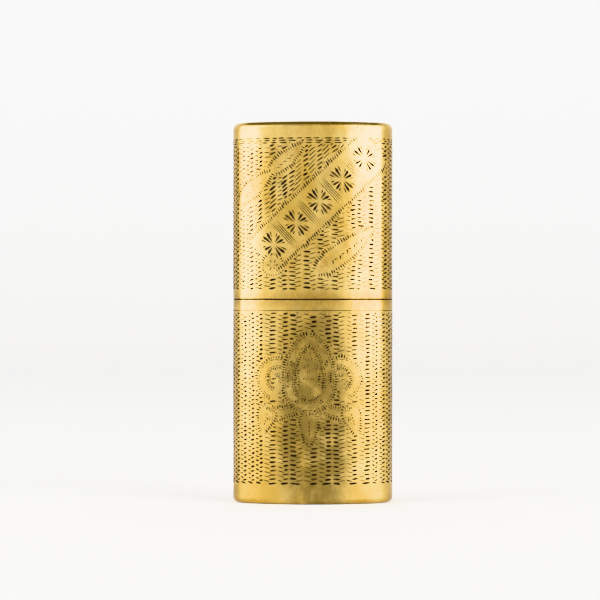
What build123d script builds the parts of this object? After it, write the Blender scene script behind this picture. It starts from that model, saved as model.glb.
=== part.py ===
from build123d import *
import os
from math import asin, degrees, sqrt

# Pull-apart petrol pocket lighter in brass.
#
# A drawn lower case holds the petrol tank, packed with cotton around a flint tube. A neck sleeve
# stands out of its mouth, closed by a deck that carries the wick, a round wind screen and the
# striker wheel. The cap slides straight up off the neck, and a snuffer cup inside it covers the
# wick when it is closed. A flint screw and a filler screw are sunk into the base.
#
# Millimetres. Z is up, the origin is the centre of the base, the broad engraved front faces -Y,
# the wick is on the -X side and the wheel on the +X side.

# ---- Driving dimensions ----

# Case
case_width = 25.0
case_depth = 12.5
side_radius = 4.4  # of the narrow sides; the broad faces' radius follows from it
body_height = 31.6
cap_height = 27.5
body_wall = 0.55
cap_wall = 0.45
cap_top_wall = 0.6
cap_edge_radius = 1.0
base_edge_radius = 0.8
mouth_chamfer = 0.08
lip_thickness = 0.6
lip_reach = 1.3  # how far the lip turns in under the base plate

# Neck and deck
neck_wall = 0.45
neck_depth = 9.6  # below the lower case's mouth; how far it rises follows from the cap
deck_thickness = 0.8
burner_headroom = 3.9  # above the burner under the closed cap

# Base
base_plate_thickness = 0.9
bush_wall = 1.1
bush_flange_reach = 0.6
bush_flange_thickness = 0.6
flint_seat_depth = 1.5  # of the flint tube in its bush
head_thickness = 1.0
head_sink = 0.1  # of each screw head above the standing surface
washer_thickness = 0.4
well_gap = 0.4  # around a screw head

# Flint and its feed
flint_radius = 1.3
flint_length = 5.0
flint_tube_wall = 0.45
flint_stick_out = 0.6  # of the flint above its tube
flint_screw_head_radius = 2.7
flint_thread_radius = 1.75
flint_thread_length = 3.3
flint_nose_radius = 0.75
flint_nose_length = 3.0
plunger_head_length = 1.6
plunger_stem_radius = 0.7
plunger_stem_length = 3.0
spring_wire_radius = 0.17
spring_pitch = 1.25

# Filler
filler_screw_head_radius = 3.0
filler_thread_radius = 2.1
filler_thread_length = 3.0
thread_pitch = 0.5
thread_depth = 0.24
slot_width = 0.8
slot_depth = 0.5

# Wick, wick tube, wind screen and snuffer
wick_radius = 1.65
wick_stick_out = 2.8
wick_tube_wall = 0.4
wick_tube_rise = 5.5  # above the deck
wick_tube_drop = 2.0  # below it
snuffer_wall = 0.45
snuffer_gap = 0.5  # around the wick tube
snuffer_lift = 0.8  # of its mouth above the deck
snuffer_flange_reach = 0.8
snuffer_flange_thickness = 0.4
screen_wall = 0.35
screen_gap = 0.65  # around the snuffer
screen_rise = 13.0
window_width = 4.4
window_sill = 2.8
air_hole_radius = 0.55
air_hole_rows = 3
air_hole_row_pitch = 3.0
air_hole_step = 36.0  # degrees between holes
air_holes_per_row = 7

# Wheel and bracket
wheel_radius = 4.5
wheel_band_width = 2.0  # the fine file-cut band that strikes the flint
wheel_rim_width = 0.8  # the coarse rim on each side of it
wheel_teeth = 56
rim_teeth = 24
tooth_depth = 0.22
rim_tooth_depth = 0.35
axle_radius = 0.8
axle_head_radius = 1.25
axle_head_thickness = 0.35
wheel_side_gap = 0.2
wheel_floor_gap = 2.0  # from the bracket's base to the wheel
wheel_screen_gap = 0.35
bracket_sheet = 0.7
bracket_half_length = 4.2
ear_half_length = 3.0
ear_tip_radius = 1.9
rivet_radius = 0.55
rivet_head_radius = 0.9
rivet_head_thickness = 0.35
rivet_spacing = 7.0

# Grip springs in the neck
grip_width = 2.2
grip_sheet = 0.18
grip_window_margin = 1.5  # above the lower case's mouth, and below the deck
grip_foot = 2.0
grip_crown_gap = 0.05  # between the crown and the cap's wall

# Packing
packing_gap = 0.6  # from the neck's inner wall
felt_thickness = 1.2
packing_pads = ("wadding_lower", "wadding_middle", "wadding_upper")
wick_tail_share = 2  # pads that the wick's tail runs through

# Fits, as radial or face clearances
solder_gap = 0.02
running_gap = 0.03
sliding_gap = 0.12
thread_gap = 0.03
strike_gap = 0.05

# ---- Places that follow from them ----

face_reach = case_width / 2 - side_radius  # from the centre to each side arc's centre
face_radius = (face_reach**2 + (case_depth / 2) ** 2 - side_radius**2) / (
    case_depth - 2 * side_radius
)
face_centre = face_radius - case_depth / 2
side_angle = degrees(asin(face_reach / (face_radius - side_radius)))

neck_inset = body_wall + solder_gap  # of the neck's outer wall from the case's outline
neck_bore_inset = neck_inset + neck_wall
cap_inner_top = body_height + cap_height - cap_top_wall
burner_rise = max(screen_rise, bracket_sheet + wheel_floor_gap + 2 * wheel_radius)
deck_top = cap_inner_top - burner_headroom - burner_rise
deck_bottom = deck_top - deck_thickness
neck_bottom = body_height - neck_depth
grip_window_bottom = body_height + grip_window_margin
grip_window_top = deck_bottom - grip_window_margin

wick_bore_radius = wick_radius + running_gap
wick_tube_radius = wick_bore_radius + wick_tube_wall
wick_tube_top = deck_top + wick_tube_rise
snuffer_bore_radius = wick_tube_radius + snuffer_gap
snuffer_radius = snuffer_bore_radius + snuffer_wall
screen_bore_radius = snuffer_radius + screen_gap
screen_radius = screen_bore_radius + screen_wall

burner_length = 2 * screen_radius + wheel_screen_gap + 2 * wheel_radius
wick_x = screen_radius - burner_length / 2
wheel_x = burner_length / 2 - wheel_radius
bracket_top = deck_top + bracket_sheet
wheel_z = bracket_top + wheel_floor_gap + wheel_radius
wheel_half_width = wheel_band_width / 2 + wheel_rim_width
ear_inner = wheel_half_width + wheel_side_gap
ear_outer = ear_inner + bracket_sheet

plate_top = lip_thickness + base_plate_thickness
head_top = head_sink + head_thickness
washer_top = head_top + washer_thickness
flint_well_radius = flint_screw_head_radius + well_gap
filler_well_radius = filler_screw_head_radius + well_gap

flint_bore_radius = flint_radius + sliding_gap
flint_tube_radius = flint_bore_radius + flint_tube_wall
flint_top = wheel_z - wheel_radius - strike_gap
flint_bottom = flint_top - flint_length
flint_tube_top = flint_top - flint_stick_out
flint_thread_top = washer_top + flint_thread_length
flint_tube_bottom = flint_thread_top + well_gap
flint_bush_top = flint_tube_bottom + flint_seat_depth
filler_bush_top = washer_top + filler_thread_length + well_gap
plunger_shoulder = flint_bottom - plunger_head_length
spring_radius = flint_bore_radius - sliding_gap - spring_wire_radius

packing_bottom = max(flint_bush_top, filler_bush_top) + solder_gap
packing_top = deck_bottom - wick_tube_drop - solder_gap
pad_height = (packing_top - packing_bottom - felt_thickness) / len(packing_pads)
wick_bottom = packing_top - wick_tail_share * pad_height
wick_top = wick_tube_top + wick_stick_out


class CaseOval(BaseSketchObject):
    """The case's section of four tangent arcs, inset evenly from the outer surface."""

    def __init__(self, inset=0, mode=Mode.ADD):
        with BuildSketch() as section:
            with BuildLine():
                for turn, reach, radius, half_angle in (
                    (0, face_reach, side_radius, 90 - side_angle),
                    (90, -face_centre, face_radius, side_angle),
                    (180, face_reach, side_radius, 90 - side_angle),
                    (270, -face_centre, face_radius, side_angle),
                ):
                    centre = Vector(reach, 0).rotate(Axis.Z, turn)
                    CenterArc(centre, radius - inset, turn - half_angle, 2 * half_angle)
            make_face()
        super().__init__(section.sketch, mode=mode)


class RoundTube(BasePartObject):
    """An upright round tube or ring with its foot at the origin."""

    def __init__(self, outer, inner, length, mode=Mode.ADD):
        with BuildPart() as made:
            with BuildSketch():
                Circle(outer)
                Circle(inner, mode=Mode.SUBTRACT)
            extrude(amount=length)
        super().__init__(made.part, mode=mode)


class FlangedBush(BasePartObject):
    """A threaded bush with a flange around its foot, which is at the origin."""

    def __init__(self, flange_radius, bore_radius, length, mode=Mode.ADD):
        with BuildPart() as made:
            with BuildSketch():
                Circle(flange_radius)
            extrude(amount=bush_flange_thickness)
            with BuildSketch():
                Circle(bore_radius + bush_wall)
            extrude(amount=length)
            with BuildSketch():
                Circle(bore_radius)
            extrude(amount=length, mode=Mode.SUBTRACT)
        super().__init__(made.part, mode=mode)


class ThreadRidge(BasePartObject):
    """The crest of a right-hand thread around the Z axis, rising from the origin."""

    def __init__(self, major_radius, length, mode=Mode.ADD):
        core_radius = major_radius - thread_depth
        with BuildPart() as made:
            with BuildLine() as path:
                Helix(thread_pitch, length, core_radius)
            with BuildSketch(Plane(path.line @ 0, x_dir=(1, 0, 0), z_dir=path.line % 0)):
                with BuildLine():
                    Polyline(
                        (-thread_depth / 4, -thread_pitch * 0.42),
                        (thread_depth, -thread_pitch * 0.06),
                        (thread_depth, thread_pitch * 0.06),
                        (-thread_depth / 4, thread_pitch * 0.42),
                        close=True,
                    )
                make_face()
            sweep(path=path.line, is_frenet=True)
        super().__init__(made.part, mode=mode)


class SlottedScrew(BasePartObject):
    """A screw, head down at the origin, slotted for a coin and with a real thread."""

    def __init__(self, head_radius, thread_radius, thread_length, mode=Mode.ADD):
        with BuildPart() as made:
            with BuildSketch():
                Circle(head_radius)
            extrude(amount=head_thickness)
            chamfer(made.edges().group_by(Axis.Z)[0], length=head_thickness / 5)
            with BuildSketch():
                Rectangle(2 * head_radius, slot_width)
            extrude(amount=slot_depth, mode=Mode.SUBTRACT)
            with BuildSketch(Plane.XY.offset(head_thickness)):
                Circle(thread_radius - thread_depth)
            extrude(amount=washer_thickness + thread_length)
            chamfer(made.edges().group_by(Axis.Z)[-1], length=thread_depth)
            with Locations((0, 0, head_thickness + washer_thickness + thread_pitch)):
                ThreadRidge(thread_radius, thread_length - 2 * thread_pitch)
        super().__init__(made.part, mode=mode)


def save(made, label):
    made.part.label = label
    export_step(made.part, f"parts/{label}.step")


os.makedirs("parts", exist_ok=True)

# ---- Case ----

with BuildPart() as lower_shell:
    with BuildSketch():
        CaseOval()
    extrude(amount=body_height)
    fillet(lower_shell.edges().group_by(Axis.Z)[0], radius=base_edge_radius)
    chamfer(lower_shell.edges().group_by(Axis.Z)[-1], length=mouth_chamfer)
    with BuildSketch(Plane.XY.offset(lip_thickness)):
        CaseOval(inset=body_wall)
    extrude(amount=body_height, mode=Mode.SUBTRACT)
    with BuildSketch():
        CaseOval(inset=body_wall + lip_reach)
    extrude(amount=lip_thickness, mode=Mode.SUBTRACT)
save(lower_shell, "lower_shell")

with BuildPart() as base_plate:
    with BuildSketch(Plane.XY.offset(lip_thickness)):
        CaseOval(inset=body_wall + solder_gap)
        with Locations((wheel_x, 0)):
            Circle(flint_well_radius, mode=Mode.SUBTRACT)
        with Locations((wick_x, 0)):
            Circle(filler_well_radius, mode=Mode.SUBTRACT)
    extrude(amount=base_plate_thickness)
save(base_plate, "base_plate")

with BuildPart() as neck_sleeve:
    with BuildSketch(Plane.XY.offset(neck_bottom)):
        CaseOval(inset=neck_inset)
    extrude(amount=deck_top - neck_bottom)
    chamfer(neck_sleeve.edges().group_by(Axis.Z)[-1], length=neck_wall / 2)
    with BuildSketch(Plane.XY.offset(neck_bottom)):
        CaseOval(inset=neck_bore_inset)
    extrude(amount=deck_top - neck_bottom, mode=Mode.SUBTRACT)
    with BuildSketch(Plane.XZ.offset(-case_depth)):
        with Locations((0, (grip_window_bottom + grip_window_top) / 2)):
            Rectangle(grip_width + 4 * sliding_gap, grip_window_top - grip_window_bottom)
    extrude(amount=2 * case_depth, mode=Mode.SUBTRACT)
save(neck_sleeve, "neck_sleeve")

with BuildPart() as cap_shell:
    with BuildSketch(Plane.XY.offset(body_height)):
        CaseOval()
    extrude(amount=cap_height)
    fillet(cap_shell.edges().group_by(Axis.Z)[-1], radius=cap_edge_radius)
    chamfer(cap_shell.edges().group_by(Axis.Z)[0], length=mouth_chamfer)
    with BuildSketch(Plane.XY.offset(body_height)):
        CaseOval(inset=cap_wall)
    extrude(amount=cap_height - cap_top_wall, mode=Mode.SUBTRACT)
    inner_top = cap_shell.edges().filter_by_position(
        Axis.Z, cap_inner_top - running_gap, cap_inner_top + running_gap
    )
    fillet(inner_top, radius=cap_edge_radius - cap_wall)
save(cap_shell, "cap_shell")

# ---- Base fittings ----

with BuildPart() as flint_bush:
    with Locations((wheel_x, 0, plate_top)):
        FlangedBush(
            flint_well_radius + bush_flange_reach,
            flint_thread_radius + thread_gap,
            flint_bush_top - plate_top,
        )
    with Locations((wheel_x, 0, flint_bush_top)):
        Hole(flint_tube_radius + solder_gap, depth=flint_seat_depth)
save(flint_bush, "flint_bush")

with BuildPart() as filler_bush:
    with Locations((wick_x, 0, plate_top)):
        FlangedBush(
            filler_well_radius + bush_flange_reach,
            filler_thread_radius + thread_gap,
            filler_bush_top - plate_top,
        )
save(filler_bush, "filler_bush")

with BuildPart() as flint_screw:
    with Locations((wheel_x, 0, head_sink)):
        SlottedScrew(flint_screw_head_radius, flint_thread_radius, flint_thread_length)
    with BuildSketch(Plane.XY.offset(flint_thread_top)):
        with Locations((wheel_x, 0)):
            Circle(flint_nose_radius)
    extrude(amount=flint_nose_length)
    chamfer(flint_screw.edges().group_by(Axis.Z)[-1], length=flint_nose_radius / 3)
save(flint_screw, "flint_screw")

with BuildPart() as filler_screw:
    with Locations((wick_x, 0, head_sink)):
        SlottedScrew(filler_screw_head_radius, filler_thread_radius, filler_thread_length)
save(filler_screw, "filler_screw")

for label, x, head_radius, thread_radius in (
    ("flint_washer", wheel_x, flint_screw_head_radius, flint_thread_radius),
    ("filler_washer", wick_x, filler_screw_head_radius, filler_thread_radius),
):
    with BuildPart() as washer:
        with Locations((x, 0, head_top)):
            RoundTube(head_radius - thread_gap, thread_radius + thread_gap, washer_thickness)
    save(washer, label)

# ---- Flint feed ----

with BuildPart() as flint_tube:
    with Locations((wheel_x, 0, flint_tube_bottom)):
        RoundTube(flint_tube_radius, flint_bore_radius, flint_tube_top - flint_tube_bottom)
save(flint_tube, "flint_tube")

with BuildPart() as flint:
    with BuildSketch(Plane.XY.offset(flint_bottom)):
        with Locations((wheel_x, 0)):
            Circle(flint_radius)
    extrude(amount=flint_length + flint_radius)
    with BuildSketch(Plane.XZ.offset(-case_depth)):
        with Locations((wheel_x, wheel_z)):
            Circle(wheel_radius + strike_gap)
    extrude(amount=2 * case_depth, mode=Mode.SUBTRACT)
save(flint, "flint")

with BuildPart() as flint_plunger:
    with BuildSketch(Plane.XY.offset(plunger_shoulder)):
        with Locations((wheel_x, 0)):
            Circle(flint_radius)
    extrude(amount=plunger_head_length)
    with BuildSketch(Plane.XY.offset(plunger_shoulder - plunger_stem_length)):
        with Locations((wheel_x, 0)):
            Circle(plunger_stem_radius)
    extrude(amount=plunger_stem_length)
    chamfer(flint_plunger.edges().group_by(Axis.Z)[0], length=plunger_stem_radius / 3)
save(flint_plunger, "flint_plunger")

with BuildPart() as flint_spring:
    spring_start = flint_thread_top + spring_wire_radius + solder_gap
    spring_end = plunger_shoulder - spring_wire_radius - solder_gap
    spring_foot = (wheel_x, 0, spring_start)
    with BuildLine() as coil:
        Helix(spring_pitch, spring_end - spring_start, spring_radius, center=spring_foot)
    with BuildSketch(Plane(coil.line @ 0, z_dir=coil.line % 0)):
        Circle(spring_wire_radius)
    sweep(path=coil.line, is_frenet=True)
save(flint_spring, "flint_spring")

# ---- Tank packing ----

felt_top = packing_bottom + felt_thickness
pads = [("felt_pad", packing_bottom, felt_top)]
for number, label in enumerate(packing_pads):
    pad_bottom = felt_top + number * pad_height
    pads.append((label, pad_bottom, pad_bottom + pad_height))
for label, bottom, top in pads:
    with BuildPart() as pad:
        with BuildSketch(Plane.XY.offset(bottom)):
            CaseOval(inset=neck_bore_inset + packing_gap)
            with Locations((wheel_x, 0)):
                Circle(flint_tube_radius + sliding_gap, mode=Mode.SUBTRACT)
            if top > wick_bottom + solder_gap:
                with Locations((wick_x, 0)):
                    Circle(wick_radius + sliding_gap, mode=Mode.SUBTRACT)
        extrude(amount=top - bottom - solder_gap)
    save(pad, label)

# ---- Deck, wick and wind screen ----

with BuildPart() as burner_deck:
    with BuildSketch(Plane.XY.offset(deck_bottom)):
        CaseOval(inset=neck_bore_inset + solder_gap)
        with Locations((wick_x, 0)):
            Circle(wick_tube_radius + solder_gap, mode=Mode.SUBTRACT)
        with Locations((wheel_x, 0)):
            Circle(flint_tube_radius + solder_gap, mode=Mode.SUBTRACT)
            with GridLocations(rivet_spacing, 0, 2, 1):
                Circle(rivet_radius + solder_gap, mode=Mode.SUBTRACT)
    extrude(amount=deck_thickness)
save(burner_deck, "burner_deck")

with BuildPart() as wick_tube:
    wick_tube_bottom = deck_bottom - wick_tube_drop
    with Locations((wick_x, 0, wick_tube_bottom)):
        RoundTube(wick_tube_radius, wick_bore_radius, wick_tube_top - wick_tube_bottom)
save(wick_tube, "wick_tube")

with BuildPart() as wick:
    with BuildSketch(Plane.XY.offset(wick_bottom)):
        with Locations((wick_x, 0)):
            Circle(wick_radius)
    extrude(amount=wick_top - wick_bottom)
    fillet(wick.edges().group_by(Axis.Z)[-1], radius=wick_radius / 3)
save(wick, "wick")

with BuildPart() as wind_screen:
    with Locations((wick_x, 0, deck_top)):
        RoundTube(screen_radius, screen_bore_radius, screen_rise)
    with Locations((wick_x, 0, deck_top + window_sill)):
        Box(
            2 * screen_radius,
            window_width,
            screen_rise,
            align=(Align.MIN, Align.CENTER, Align.MIN),
            mode=Mode.SUBTRACT,
        )
    for row in range(air_hole_rows):
        hole_z = deck_top + window_sill + (row + 0.5) * air_hole_row_pitch
        for column in range(air_holes_per_row):
            angle = 180 + (column - (air_holes_per_row - 1) / 2) * air_hole_step
            outward = Rot(0, 0, angle) * Rot(0, 90, 0)
            with Locations(Pos(wick_x, 0, hole_z) * outward):
                Cylinder(
                    air_hole_radius,
                    2 * screen_radius,
                    align=(Align.CENTER, Align.CENTER, Align.MIN),
                    mode=Mode.SUBTRACT,
                )
save(wind_screen, "wind_screen")

with BuildPart() as snuffer_cup:
    snuffer_bottom = deck_top + snuffer_lift
    with BuildSketch(Plane.XY.offset(snuffer_bottom)):
        with Locations((wick_x, 0)):
            Circle(snuffer_radius)
    extrude(amount=cap_inner_top - snuffer_bottom)
    with BuildSketch(Plane.XY.offset(cap_inner_top - snuffer_flange_thickness)):
        with Locations((wick_x, 0)):
            Circle(snuffer_radius + snuffer_flange_reach)
    extrude(amount=snuffer_flange_thickness)
    with BuildSketch(Plane.XY.offset(snuffer_bottom)):
        with Locations((wick_x, 0)):
            Circle(snuffer_bore_radius)
    extrude(amount=cap_inner_top - snuffer_wall - snuffer_bottom, mode=Mode.SUBTRACT)
save(snuffer_cup, "snuffer_cup")

# ---- Wheel and bracket ----

with BuildPart() as wheel_bracket:
    with BuildSketch(Plane.XY.offset(deck_top)):
        with Locations((wheel_x, 0)):
            Rectangle(2 * bracket_half_length, 2 * ear_outer)
    extrude(amount=bracket_sheet)
    for ear_y in (ear_outer, -ear_inner):
        with BuildSketch(Plane.XZ.offset(-ear_y)):
            with BuildLine():
                CenterArc((wheel_x, wheel_z), ear_tip_radius, 0, 360)
                Line(
                    (wheel_x - ear_half_length, deck_top),
                    (wheel_x + ear_half_length, deck_top),
                )
            make_hull()
        extrude(amount=bracket_sheet)
    with BuildSketch(Plane.XZ.offset(-case_depth)):
        with Locations((wheel_x, wheel_z)):
            Circle(axle_radius + solder_gap)
    extrude(amount=2 * case_depth, mode=Mode.SUBTRACT)
    with Locations((wheel_x, 0, bracket_top)):
        Hole(flint_tube_radius + solder_gap, depth=bracket_sheet)
        with GridLocations(rivet_spacing, 0, 2, 1):
            Hole(rivet_radius + solder_gap, depth=bracket_sheet)
save(wheel_bracket, "wheel_bracket")

with BuildPart() as bracket_rivets:
    for bottom, top, radius in (
        (deck_bottom - rivet_head_thickness, deck_bottom, rivet_head_radius),
        (deck_bottom, bracket_top, rivet_radius),
        (bracket_top, bracket_top + rivet_head_thickness, rivet_head_radius),
    ):
        with BuildSketch(Plane.XY.offset(bottom)):
            with Locations((wheel_x, 0)):
                with GridLocations(rivet_spacing, 0, 2, 1):
                    Circle(radius)
        extrude(amount=top - bottom)
    fillet(bracket_rivets.edges().group_by(Axis.Z)[-1], radius=rivet_head_thickness * 0.8)
save(bracket_rivets, "bracket_rivets")

with BuildPart() as wheel_axle:
    for far_y, length, radius in (
        (ear_outer + axle_head_thickness, axle_head_thickness, axle_head_radius),
        (ear_outer, 2 * ear_outer, axle_radius),
        (-ear_outer, axle_head_thickness, axle_head_radius),
    ):
        with BuildSketch(Plane.XZ.offset(-far_y)):
            with Locations((wheel_x, wheel_z)):
                Circle(radius)
        extrude(amount=length)
    for end in (0, -1):
        fillet(wheel_axle.edges().group_by(Axis.Y)[end], radius=axle_head_thickness * 0.7)
save(wheel_axle, "wheel_axle")

with BuildPart() as striker_wheel:
    for far_y, width, teeth, depth in (
        (wheel_half_width, wheel_rim_width, rim_teeth, rim_tooth_depth),
        (wheel_band_width / 2, wheel_band_width, wheel_teeth, tooth_depth),
        (-wheel_band_width / 2, wheel_rim_width, rim_teeth, rim_tooth_depth),
    ):
        with BuildSketch(Plane.XZ.offset(-far_y)):
            with Locations((wheel_x, wheel_z)):
                Circle(wheel_radius)
                with PolarLocations(wheel_radius, teeth):
                    Rectangle(sqrt(2) * depth, sqrt(2) * depth, rotation=45, mode=Mode.SUBTRACT)
        extrude(amount=width)
    with BuildSketch(Plane.XZ.offset(-wheel_half_width)):
        with Locations((wheel_x, wheel_z)):
            Circle(axle_radius + running_gap)
    extrude(amount=2 * wheel_half_width, mode=Mode.SUBTRACT)
save(striker_wheel, "striker_wheel")

# ---- Grip springs ----

for label, side in (("grip_spring_front", -1), ("grip_spring_rear", 1)):
    rest_y = side * (case_depth / 2 - neck_bore_inset - 2 * solder_gap - grip_sheet / 2)
    crown_y = side * (case_depth / 2 - cap_wall - grip_crown_gap - grip_sheet / 2)
    bow_bottom = grip_window_bottom + grip_sheet
    bow_top = grip_window_top - grip_sheet
    with BuildPart() as grip_spring:
        with BuildSketch(Plane.YZ.offset(-grip_width / 2)):
            with BuildLine() as centre_line:
                Line((rest_y, grip_window_bottom - grip_foot), (rest_y, bow_bottom))
                ThreePointArc(
                    (rest_y, bow_bottom),
                    (crown_y, (bow_bottom + bow_top) / 2),
                    (rest_y, bow_top),
                )
            trace(centre_line.edges(), line_width=grip_sheet)
        extrude(amount=grip_width)
    save(grip_spring, label)
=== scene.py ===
import math
import random

import bpy
import numpy as np
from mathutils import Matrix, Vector
from mathutils.geometry import delaunay_2d_cdt


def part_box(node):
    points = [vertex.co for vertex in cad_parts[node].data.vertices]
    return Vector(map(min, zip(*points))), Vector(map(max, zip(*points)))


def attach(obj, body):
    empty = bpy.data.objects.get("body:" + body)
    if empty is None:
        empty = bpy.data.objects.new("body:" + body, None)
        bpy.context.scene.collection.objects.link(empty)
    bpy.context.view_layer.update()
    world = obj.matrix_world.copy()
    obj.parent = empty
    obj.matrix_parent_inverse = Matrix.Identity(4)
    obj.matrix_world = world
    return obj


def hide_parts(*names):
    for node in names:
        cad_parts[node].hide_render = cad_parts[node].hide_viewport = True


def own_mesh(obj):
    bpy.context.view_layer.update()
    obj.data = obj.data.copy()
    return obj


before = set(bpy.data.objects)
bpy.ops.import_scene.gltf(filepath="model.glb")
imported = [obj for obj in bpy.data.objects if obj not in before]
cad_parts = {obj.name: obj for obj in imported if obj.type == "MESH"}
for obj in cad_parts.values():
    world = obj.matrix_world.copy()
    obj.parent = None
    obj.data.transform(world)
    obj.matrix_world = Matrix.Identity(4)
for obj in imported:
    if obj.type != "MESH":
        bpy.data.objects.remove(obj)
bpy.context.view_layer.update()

# The lighter's looks. Shapes are worked out in millimetres in the row frame, and become metres
# in mesh_piece(). The engraved shells are made on their surface unrolled: u runs round the case
# from the middle of the front towards +X, and v is height.

MM = 0.001


def node_box(node):
    """A CAD node's lowest and highest corner, in millimetres."""
    low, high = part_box(node)
    return Vector(low) / MM, Vector(high) / MM


# ---- Sizes ----

body_low, body_high = node_box("lower_shell")
cap_high = node_box("cap_shell")[1]
case_width = body_high.x - body_low.x
case_depth = round(body_high.y - body_low.y, 3)
side_radius = 4.4
joint_z = body_high.z
body_wall = 0.55
cap_wall = 0.45
cap_top_wall = 0.6
cap_edge_radius = 1.0
base_edge_radius = 0.8
mouth_chamfer = 0.08
lip_thickness = 0.6
lip_inset = 1.85

# Plain bands round the engraved strips
cap_top_band = 2.5
cap_mouth_band = 1.45
body_mouth_band = 1.95
body_foot_band = 3.0

# ---- The case's oval, unrolled ----

face_reach = case_width / 2 - side_radius
face_radius = (face_reach**2 + (case_depth / 2) ** 2 - side_radius**2) / (
    case_depth - 2 * side_radius
)
half_face = math.asin(face_reach / (face_radius - side_radius))
face_run = face_radius * half_face
side_run = side_radius * (math.pi - 2 * half_face)
round_run = 4 * face_run + 2 * side_run


def on_oval(u):
    """Points (x, y) and outward normals of the case's outline at runs u from the front's middle."""
    u = (np.asarray(u, float) + round_run / 2) % round_run - round_run / 2
    side = np.sign(u) + (u == 0)
    run = np.abs(u)
    front = run <= face_run
    flank = (run > face_run) & (run <= face_run + side_run)
    angle = np.select(
        [front, flank],
        [run / face_radius, half_face + (run - face_run) / side_radius],
        math.pi - (2 * face_run + side_run - run) / face_radius,
    )
    nx, ny = np.sin(angle), -np.cos(angle)
    radius = np.where(flank, side_radius, face_radius)
    cx = np.where(flank, face_reach, 0.0)
    cy = np.where(flank, 0.0, np.where(front, 1, -1) * (face_radius - case_depth / 2))
    return np.stack([side * (cx + radius * nx), cy + radius * ny], -1), np.stack(
        [side * nx, ny], -1
    )


# ---- Mesh helpers ----


def mesh_piece(name, points, faces, body, materials, face_material=None, normals=None):
    """A piece from points in millimetres. normals, where given, are one for each face corner."""
    mesh = bpy.data.meshes.new(name)
    mesh.from_pydata((np.asarray(points, float) * MM).tolist(), [], [list(f) for f in faces])
    mesh.polygons.foreach_set("use_smooth", [True] * len(mesh.polygons))
    for material in materials:
        mesh.materials.append(material)
    if face_material is not None:
        mesh.polygons.foreach_set("material_index", np.asarray(face_material, np.int32))
    if normals is not None:
        mesh.normals_split_custom_set(np.asarray(normals, float).tolist())
    else:
        mesh.set_sharp_from_angle(angle=math.radians(32))
    mesh.update()
    piece = bpy.data.objects.new(name, mesh)
    bpy.context.scene.collection.objects.link(piece)
    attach(piece, body)
    return piece


def grid_faces(rows, columns):
    """Quads between rows of closed rings, each of `columns` points."""
    faces = []
    for row in range(rows - 1):
        for column in range(columns):
            a = row * columns + column
            b = row * columns + (column + 1) % columns
            faces.append((a, b, b + columns, a + columns))
    return faces


# ---- Material helpers ----


class Shader:
    """A material's node tree, with short calls for the nodes that it takes."""

    def __init__(self, name, **values):
        self.material = bpy.data.materials.new(name)
        self.material.use_nodes = True
        self.tree = self.material.node_tree
        self.surface = self.tree.nodes["Principled BSDF"]
        for socket, value in values.items():
            self.surface.inputs[socket.replace("_", " ").title()].default_value = value
        self.place = self.tree.nodes.new("ShaderNodeTexCoord").outputs["Object"]

    def node(self, kind, inputs, **settings):
        made = self.tree.nodes.new("ShaderNode" + kind)
        for key, value in settings.items():
            setattr(made, key, value)
        for key, value in inputs.items():
            if isinstance(value, bpy.types.NodeSocket):
                self.tree.links.new(value, made.inputs[key])
            else:
                made.inputs[key].default_value = value
        return made

    def scaled(self, x, y=None, z=None):
        """Object coordinates, with so many units to each millimetre along X, Y and Z."""
        factors = (x / MM, (x if y is None else y) / MM, (x if z is None else z) / MM)
        return self.node("Mapping", {"Vector": self.place, "Scale": factors}).outputs[0]

    def noise(self, x, y=None, z=None, detail=3.0, rough=0.55, warp=0.0):
        settings = {"Vector": self.scaled(x, y, z), "Scale": 1.0, "Detail": detail}
        settings.update({"Roughness": rough, "Distortion": warp})
        return self.node("TexNoise", settings).outputs["Fac"]

    def spots(self, scale, **settings):
        inputs = {"Vector": self.scaled(scale), "Scale": 1.0}
        return self.node("TexVoronoi", inputs, **settings).outputs["Distance"]

    def steps(self, value, low, high, out_low=0.0, out_high=1.0):
        """A value eased from one range to another."""
        inputs = {0: value, 1: low, 2: high, 3: out_low, 4: out_high}
        return self.node("MapRange", inputs, interpolation_type="SMOOTHSTEP").outputs[0]

    def maths(self, operation, a, b=0.0):
        return self.node("Math", {0: a, 1: b}, operation=operation).outputs[0]

    def mix(self, share, a, b):
        made = self.tree.nodes.new("ShaderNodeMix")
        made.data_type = "RGBA"
        for key, value in ((0, share), (6, a), (7, b)):
            if isinstance(value, bpy.types.NodeSocket):
                self.tree.links.new(value, made.inputs[key])
            else:
                made.inputs[key].default_value = value if key == 0 else (*value, 1.0)
        return made.outputs[2]

    def blob(self, centre, size, full=0.0):
        """1 round a centre in millimetres, falling to 0 a size away along each axis."""
        shift = [-c / s for c, s in zip(centre, size)]
        inputs = {"Vector": self.place, "Location": shift, "Scale": [1 / (s * MM) for s in size]}
        moved = self.node("Mapping", inputs).outputs[0]
        far = self.node("VectorMath", {0: moved}, operation="LENGTH").outputs["Value"]
        return self.steps(far, 1.0, full)

    def colour(self, socket):
        self.tree.links.new(socket, self.surface.inputs["Base Color"])

    def roughness(self, socket):
        self.tree.links.new(socket, self.surface.inputs["Roughness"])

    def bump(self, *layers):
        """Bump from pairs of (height socket, depth in millimetres)."""
        normal = None
        for height, depth in layers:
            inputs = {"Height": height, "Distance": depth * MM, "Strength": 1.0}
            if normal is not None:
                inputs["Normal"] = normal
            normal = self.node("Bump", inputs).outputs[0]
        self.tree.links.new(normal, self.surface.inputs["Normal"])


# ---- Materials ----


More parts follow.
